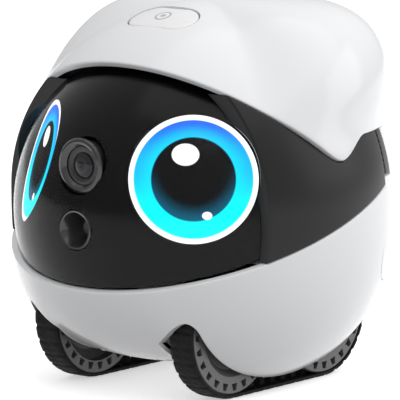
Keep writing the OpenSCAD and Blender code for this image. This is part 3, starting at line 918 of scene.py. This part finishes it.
def well_liner(side):
    """The inner wall of a wheel well and the deck over it, inside the shell."""
    top = DECK_Z + DECK_T
    wall = tool_object("liner_wall", *box_mesh((WELL_IN - WELL_WALL, -48, 2), (WELL_IN, 48, top), side))
    deck = tool_object("liner_deck", *box_mesh((WELL_IN - 0.1, -33, DECK_Z), (48, 33, top), side))
    inside = tool_object("liner_inside", *shell_middle())
    tag = "left" if side > 0 else "right"
    for piece, name in ((wall, "well_wall"), (deck, "well_deck")):
        boolean(piece, inside, "INTERSECT")
        rim = slope_tool("liner_rim", BOWL_Z - 0.4, BOWL_SLOPE, True)
        boolean(piece, rim, "DIFFERENCE")
        discard(rim)
        if piece is wall:
            for y in (-AXLE_Y, AXLE_Y):
                start = (side * (WELL_IN - 4), y, AXLE_Z)
                tool = cylinder_tool("liner_bore", start, (side, 0, 0), 2.5, 0, 8, 40)
                boolean(wall, tool, "DIFFERENCE")
                discard(tool)
        piece.name = f"{name}_{tag}"
        piece.data.materials.clear()
        piece.data.materials.append(SHELL_WHITE)
        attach(piece, BODY)
    discard(inside)


def box_mesh(low, high, side=1):
    (x0, y0, z0), (x1, y1, z1) = low, high
    x0, x1 = sorted((side * x0, side * x1))
    verts = [(x, y, z) for z in (z0, z1) for y in (y0, y1) for x in (x0, x1)]
    faces = [(0, 2, 3, 1), (4, 5, 7, 6), (0, 1, 5, 4), (2, 6, 7, 3), (0, 4, 6, 2), (1, 3, 7, 5)]
    return verts, faces


wheel_lo, wheel_hi = mm_box("front_wheel_left")
rear_lo, rear_hi = mm_box("rear_wheel_left")
AXLE_Z = float(wheel_lo[2] + wheel_hi[2]) / 2
AXLE_Y = float(rear_lo[1] + rear_hi[1]) / 2
WHEEL_R = float(wheel_hi[2] - wheel_lo[2]) / 2 + 0.05

for side in (1, -1):
    well_liner(side)

# ---- side panels ----------------------------------------------------------------

FLANGE_T = 1.4


def panel_mesh(side):
    """Sections from the rear edge along the skin to the front flange, stacked from bowl to cover."""
    lip = 0.3
    ys, insets = [PANEL_REAR_Y], [lip]
    for a, b in lip_arc(4, 0.3):
        ys.append(PANEL_REAR_Y - lip * b)
        insets.append(lip * a)
    span = np.linspace(PANEL_REAR_Y - lip, -FRAME_Y + lip, 90)[1:-1]
    ys += list(span)
    insets += [0.0] * len(span)
    for a, b in lip_arc(5):
        ys.append(-FRAME_Y + lip * a)
        insets.append(lip * b)
    count = len(ys)
    ys, insets = np.array(ys), np.array(insets)
    vs = [(0.0, WALL)] + [(o, i) for o, i in fillet_steps(lip, WALL, 4)[1:]]
    rows = [("low", o, i) for o, i in vs] + [("mid", f, 0.0) for f in np.linspace(0, 1, 60)[1:-1]]
    rows += [("high", o, i) for o, i in reversed(vs)]
    flange_steps = np.linspace(0, 1, 10)[1:]

    def level(y, kind, value):
        low, high = BOWL_Z + BOWL_SLOPE * y + GAP, cover_edge(y) - 2 * GAP
        if kind == "low":
            return low + value
        if kind == "high":
            return high - value
        return low + lip + (high - low - 2 * lip) * value

    def skin_x(y, z, inset):
        return np.sqrt(np.maximum(0.01, ball_r(z, inset) ** 2 - y * y))

    def glass_x(y, z):
        across = (WINDOW_R + 0.1) ** 2 - (y - WINDOW_C[1]) ** 2 - (z - WINDOW_C[2]) ** 2
        return np.sqrt(np.maximum(0.01, across))

    loops = []
    for kind, value, inset in rows:
        z = level(ys, kind, value)
        outer = np.stack([skin_x(ys, z, np.maximum(insets, inset)), ys, z], -1)
        fz = level(np.array(-FRAME_Y), kind, value)
        x0, x1 = outer[-1][0], min(float(glass_x(-FRAME_Y, fz)), outer[-1][0] - 0.05)
        face = np.array([[mix(x0, x1, f), -FRAME_Y, fz] for f in flange_steps])
        bz = level(np.array(-FRAME_Y + FLANGE_T), kind, value)
        inner_y = np.concatenate([[PANEL_REAR_Y], np.linspace(PANEL_REAR_Y, -FRAME_Y + FLANGE_T, 50)[1:]])
        iz = level(inner_y, kind, value)
        inner = np.stack([skin_x(inner_y, iz, WALL), inner_y, iz], -1)
        bx1 = min(float(glass_x(-FRAME_Y + FLANGE_T, bz)), inner[-1][0] - 0.05)
        back = np.array([[mix(inner[-1][0], bx1, f), -FRAME_Y + FLANGE_T, bz] for f in flange_steps])
        loops.append(np.concatenate([outer, face, back[::-1], inner[::-1]]))
    n = len(loops[0])
    verts = np.concatenate(loops)
    verts[:, 0] *= side
    faces = grid_faces(len(loops), n, wrap=True)
    last = (len(loops) - 1) * n
    m_outer = count + len(flange_steps)
    outer_index = list(range(m_outer))
    inner_index = list(range(n - 1, m_outer - 1, -1))
    caps = []
    i, j = 0, 0
    while i < len(outer_index) - 1 or j < len(inner_index) - 1:
        fi, fj = i / (len(outer_index) - 1), j / (len(inner_index) - 1)
        if fi <= fj and i < len(outer_index) - 1:
            caps.append((outer_index[i], outer_index[i + 1], inner_index[j]))
            i += 1
        else:
            caps.append((outer_index[i], inner_index[j + 1], inner_index[j]))
            j += 1
    faces += caps + [tuple(last + q for q in f[::-1]) for f in caps]
    return verts, faces


for side in (1, -1):
    tag = "left" if side > 0 else "right"
    verts, faces = panel_mesh(side)
    panel = closed(new_object(f"side_band_{tag}", verts, faces, BODY, FRAME_BLACK))
    eye = eye_matrix(side)
    cut_piece(panel, [(cylinder_tool("tool_eye", eye.translation, eye.to_3x3() @ Vector((0, 0, 1)),
                                     EYE_R + GAP, -12, 28, 160), "DIFFERENCE")])
    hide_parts(f"side_panel_{tag}")

# ---- rear cover -----------------------------------------------------------------


def rear_mesh():
    """A thick band of the ball's rear, slightly inset, to be trimmed by the cover's outline."""
    az = np.linspace(math.radians(75), math.radians(285), 211)
    zs = np.linspace(REAR_LOW_Z - 1, REAR_TOP_Z - 2 * GAP, 70)
    sheets = []
    for inset in (0.25, 0.25 + WALL):
        r = ball_r(zs, inset)
        sheets.append(np.stack([r[:, None] * np.sin(az)[None, :], -r[:, None] * np.cos(az)[None, :],
                                np.repeat(zs[:, None], len(az), 1)], -1).reshape(-1, 3))
    rows, cols = len(zs), len(az)
    verts = np.concatenate(sheets)
    half = rows * cols
    faces = grid_faces(rows, cols) + grid_faces(rows, cols, flip=True, start=half)
    for j in range(rows - 1):
        for i in (0, cols - 1):
            faces.append((j * cols + i, (j + 1) * cols + i, half + (j + 1) * cols + i, half + j * cols + i))
    for i in range(cols - 1):
        for j in (0, rows - 1):
            faces.append((j * cols + i, j * cols + i + 1, half + j * cols + i + 1, half + j * cols + i))
    return verts, faces


verts, faces = rear_mesh()
rear = closed(new_object("rear_hatch", verts, faces, BODY, SHELL_WHITE))
cut_piece(rear, [(prism("tool_hatch", rear_outline(GAP), -FAR, FAR, "x"), "INTERSECT")])
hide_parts("rear_cover")

# ---- face window ----------------------------------------------------------------

WINDOW_BACK_Y = 21.6


def window_mesh():
    end = math.acos((WINDOW_BACK_Y + WINDOW_C[1]) / WINDOW_R)
    thetas = np.linspace(0.004, end, 110)
    steps = 288
    rows = [(t, 0.0) for t in thetas] + [(t, WINDOW_T) for t in thetas[::-1]]
    phi = np.linspace(0, 2 * math.pi, steps, endpoint=False)
    pts = []
    for t, inset in rows:
        r = WINDOW_R - inset
        pts.append(np.stack([r * math.sin(t) * np.cos(phi), np.full(steps, WINDOW_C[1] - r * math.cos(t)),
                             WINDOW_C[2] + r * math.sin(t) * np.sin(phi)], -1))
    verts = np.concatenate(pts)
    faces = grid_faces(len(rows), steps, wrap=True)
    faces += [tuple(range(steps)), tuple((len(rows) - 1) * steps + i for i in range(steps))]
    return verts, faces


ring_lo, ring_hi = mm_box("camera_ring")
ring_c = (ring_lo + ring_hi) / 2
ring_r = float(ring_hi[2] - ring_lo[2]) / 2
sensor_lo, sensor_hi = mm_box("range_sensor")
sensor_c = (sensor_lo + sensor_hi) / 2
sensor_r = float(sensor_hi[2] - sensor_lo[2]) / 2

verts, faces = window_mesh()
window = closed(new_object("smoked_face_window", verts, faces, BODY, WINDOW_GLASS))
cut_piece(window, [
    (slope_tool("tool_rim", BOWL_Z + GAP + 0.5, BOWL_SLOPE, False), "DIFFERENCE"),
    (cylinder_tool("tool_camera", (0, ring_c[1], ring_c[2]), (0, 1, 0), ring_r + 0.05, -12, 12, 128),
     "DIFFERENCE"),
    (cylinder_tool("tool_sensor", (0, sensor_lo[1], sensor_c[2]), (0, 1, 0), sensor_r + 0.1, -12, 12, 96),
     "DIFFERENCE"),
])
window.data.materials.append(WINDOW_INSIDE)
for poly in window.data.polygons:
    out = Vector(poly.center) / MM - Vector(WINDOW_C)
    if out.length < WINDOW_R - WINDOW_T * 0.5 and poly.normal.dot(out) < 0:
        poly.material_index = 1
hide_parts("face_window")

# ---- eyes -----------------------------------------------------------------------


def eye_display(side):
    """A lit disc behind the window, in a frame of its own, with a black rim."""
    tag = "left" if side > 0 else "right"
    steps = 160
    bevel = 0.12
    rows = [(r, 0.0) for r in np.linspace(0.6, EYE_R - bevel, 14)]
    rows += [(EYE_R, -bevel), (EYE_R, -EYE_T)]
    verts = [(0, 0, 0)]
    for r, h in rows:
        turns = [2 * math.pi * i / steps for i in range(steps)]
        verts += [(r * math.cos(a), r * math.sin(a), h) for a in turns]
    faces = [(0, 1 + i, 1 + (i + 1) % steps) for i in range(steps)]
    faces += grid_faces(len(rows), steps, wrap=True, start=1)
    faces.append(tuple(1 + (len(rows) - 1) * steps + i for i in range(steps)))
    mesh = mesh_from(f"eye_screen_{tag}", verts, faces)
    obj = add_object(f"eye_screen_{tag}", mesh)
    m = eye_matrix(side)
    m.translation *= MM
    obj.matrix_world = m
    mesh.materials.append(EYE_SCREEN)
    mesh.materials.append(TRIM_BLACK)
    for poly in mesh.polygons:
        poly.material_index = 0 if poly.center.z > -0.0002 and abs(poly.normal.z) > 0.9 else 1
    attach(obj, BODY)
    weld(obj, 0.0005)
    sharpen(obj)
    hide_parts(f"eye_display_{tag}")


for side in (1, -1):
    eye_display(side)

# ---- track belts ----------------------------------------------------------------

belt_lo, belt_hi = mm_box("track_belt_left")
BELT_R = float(belt_hi[2] - belt_lo[2]) / 2
BELT_W = float(belt_hi[0] - belt_lo[0])
BELT_X = float(belt_lo[0] + belt_hi[0]) / 2
LUGS_PER_TURN, LUG_W = 24, 2.0


def belt_frame(s, perimeter_r):
    """Point and outward direction on the loop at arc length s, measured at radius perimeter_r."""
    straight, arc = 2 * AXLE_Y, math.pi * perimeter_r
    total = 2 * (straight + arc)
    s = s % total
    if s < straight:
        return (-AXLE_Y + s, AXLE_Z), (0.0, -1.0)
    s -= straight
    if s < arc:
        t = -math.pi / 2 + s / perimeter_r
        return (AXLE_Y, AXLE_Z), (math.cos(t), math.sin(t))
    s -= arc
    if s < straight:
        return (AXLE_Y - s, AXLE_Z), (0.0, 1.0)
    s -= straight
    t = math.pi / 2 + s / perimeter_r
    return (-AXLE_Y, AXLE_Z), (math.cos(t), math.sin(t))


def belt_mesh(side):
    """The loop's section, swept round both wheels: a crowned tread cut into shallow blocks."""
    blocks, per = 44, 12
    total = 2 * (2 * AXLE_Y + math.pi * BELT_R)
    half = BELT_W / 2
    lateral = np.concatenate([[-half, -half + 0.08, -half + 0.3], np.linspace(-half + 0.7, half - 0.7, 11),
                              [half - 0.3, half - 0.08, half]])
    loops = []
    n_s = blocks * per
    for k in range(n_s):
        s = total * k / n_s
        phase = (k % per) / per
        centre, out = belt_frame(s, BELT_R)
        outer = []
        for x in lateral:
            edge = abs(x) / half
            crown = 0.32 * max(0.0, (edge - 0.55) / 0.45) ** 2 if edge > 0.55 else 0.0
            corner = 0.28 if edge > 0.995 else (0.08 if edge > 0.97 else 0.0)
            cross = abs(phase - 0.5) * 2
            groove = 0.34 * max(0.0, min(1.0, (cross - 0.72) / 0.14))
            middle = 0.16 if abs(x) < 0.45 and cross < 0.72 else 0.0
            stagger = abs(((phase + 0.5) % 1.0) - 0.5) * 2
            cut = 0.22 * max(0.0, min(1.0, (stagger - 0.80) / 0.12)) if 0.9 < abs(x) < half * 0.62 else 0.0
            h = BELT_R - crown - corner - max(groove * (0.45 + 0.55 * min(1.0, edge * 1.5)), middle, cut)
            outer.append((BELT_X + x, centre[0] + out[0] * h, centre[1] + out[1] * h))
        inner = [(BELT_X + x, centre[0] + out[0] * (WHEEL_R + 0.02), centre[1] + out[1] * (WHEEL_R + 0.02))
                 for x in (half - 0.05, half - 0.4, 0.0, -half + 0.4, -half + 0.05)]
        loops.append(outer + inner)
    n = len(loops[0])
    verts = np.array([p for loop in loops for p in loop], float)
    verts[:, 0] *= side
    faces = []
    for k in range(n_s):
        a, b = k * n, ((k + 1) % n_s) * n
        for i in range(n):
            j = (i + 1) % n
            faces.append((a + i, a + j, b + j, b + i))
    return verts, faces


def lug_mesh(side):
    """Drive lugs inside the straight runs, in line with the grooves of the wheels."""
    pitch = 2 * math.pi / LUGS_PER_TURN * WHEEL_R
    root, bevel = 0.2, 0.15
    verts, faces = [], []

    def add(x0, x1, y, top, height, foot, tip):
        base = AXLE_Z + WHEEL_R * (1 if top else -1)
        sign = -1 if top else 1
        start = len(verts)
        for x in (x0, x1):
            half = [(foot, -root), (foot * 0.92, 0.25), (tip, height - bevel), (tip - bevel, height)]
            for w, h in half + [(-w, h) for w, h in reversed(half)]:
                verts.append((side * x, y + w, base + sign * h))
        faces.extend(tuple(start + i for i in face) for face in prism_faces(8))

    for top in (False, True):
        for i in range(-4, 5):
            add(BELT_X - LUG_W / 2, BELT_X + LUG_W / 2, i * pitch, top, 1.95, 1.0, 0.6)
    return verts, faces


for side in (1, -1):
    tag = "left" if side > 0 else "right"
    verts, faces = belt_mesh(side)
    belt = closed(new_object(f"belt_{tag}", verts, faces, BODY, BELT_RUBBER))
    sharpen(belt, 38)
    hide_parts(f"track_belt_{tag}")
    verts, faces = lug_mesh(side)
    lugs = closed(new_object(f"drive_lugs_{tag}", verts, faces, BODY, BELT_RUBBER))
    sharpen(lugs, 30)
    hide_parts(f"belt_lugs_{tag}")

# ---- materials of the CAD nodes that show ---------------------------------------

CAD_MATERIALS = {
    "face_mask": MASK_BLACK, "camera_ring": TRIM_BLACK, "camera_barrel": BARREL_BLACK,
    "camera_lens": LENS, "range_sensor": TRIM_BLACK, "button_switch": INNER_GREY,
    "chassis": INNER_GREY, "battery_pack": BATTERY, "main_board": BOARD,
    "speaker_driver": INNER_GREY, "charge_contacts": BRASS, "belly_screws": STEEL,
    "board_screws": STEEL,
}
PAIRED_MATERIALS = {
    "speaker_mesh": MESH_BLACK, "drive_motor": GEARBOX, "front_axle": STEEL, "rear_shaft": STEEL,
    "front_wheel": WHEEL_GREY, "rear_wheel": WHEEL_GREY, "front_hub_cap": HUB_DARK,
    "rear_hub_cap": HUB_DARK,
}
for name, mat in PAIRED_MATERIALS.items():
    CAD_MATERIALS[f"{name}_left"] = mat
    CAD_MATERIALS[f"{name}_right"] = mat
for name, mat in CAD_MATERIALS.items():
    mesh = frame["nodes"][name].data
    mesh.materials.clear()
    mesh.materials.append(mat)

# ---- floor, lights and camera ---------------------------------------------------


def floor():
    mesh = bpy.data.meshes.new("studio_floor")
    s = 6.0
    mesh.from_pydata([(-s, -s, 0), (s, -s, 0), (s, s, 0), (-s, s, 0)], [], [(0, 1, 2, 3)])
    obj = add_object("studio_floor", mesh)
    m = material("studio_paper", (0.93, 0.93, 0.935), 0.8, rough_spread=0.02, specular=0.1)
    b = nodes_of(m)[1]
    b.inputs["Emission Color"].default_value = (1.0, 1.0, 1.0, 1.0)
    b.inputs["Emission Strength"].default_value = 0.5
    obj.visible_diffuse = False
    mesh.materials.append(m)


floor()


def area_light(name, azimuth, elevation, distance, size, power):
    """A square light that faces the middle of the robot."""
    data = bpy.data.lights.new(name, "AREA")
    data.shape, data.size, data.energy = "SQUARE", size, power
    obj = add_object(name, data)
    back = from_angles(azimuth, elevation)
    obj.location = Vector((0, 0, 0.045)) + back * distance
    obj.rotation_mode = "QUATERNION"
    obj.rotation_quaternion = (-back).to_track_quat("-Z", "Y")


area_light("overhead", 90, 78, 1.2, 1.4, 3.8)
area_light("right_side", 125, 25, 1.0, 0.7, 1.8)

world = bpy.data.worlds.new("studio")
world.use_nodes = True
wt = world.node_tree
wt.nodes["Background"].inputs["Color"].default_value = (1.0, 1.0, 1.0, 1.0)
direction = wt.nodes.new("ShaderNodeTexCoord")
bright_side = Vector((0.45, 0.28, 0.85)).normalized()
toward = vector_node(wt, "DOT_PRODUCT", direction.outputs["Generated"], bright_side)
glow = wt.nodes.new("ShaderNodeMapRange")
glow.inputs["From Min"].default_value = -1.0
glow.inputs["To Min"].default_value = 0.25
glow.inputs["To Max"].default_value = 1.03
wt.links.new(toward.outputs["Value"], glow.inputs["Value"])
wt.links.new(glow.outputs["Result"], wt.nodes["Background"].inputs["Strength"])
bpy.context.scene.world = world
bpy.context.scene.view_settings.view_transform = "Standard"

CAMERA_AZ, CAMERA_EL = 39.4, 8.9
CAMERA_DISTANCE, CAMERA_LENS = 1.0056, 368.1
TARGET_RIGHT, TARGET_UP = -0.000444, 0.04296


def make_camera():
    data = bpy.data.cameras.new("camera")
    data.sensor_width, data.lens = 36.0, CAMERA_LENS
    data.clip_start, data.clip_end = 0.01, 50.0
    obj = add_object("camera", data)
    back = from_angles(CAMERA_AZ, CAMERA_EL)
    azimuth = math.radians(CAMERA_AZ)
    right = Vector((math.cos(azimuth), math.sin(azimuth), 0))
    up = back.cross(right)
    obj.matrix_world = Matrix((right, up, back)).transposed().to_4x4()
    obj.location = right * TARGET_RIGHT + up * TARGET_UP + back * CAMERA_DISTANCE
    bpy.context.scene.camera = obj


make_camera()
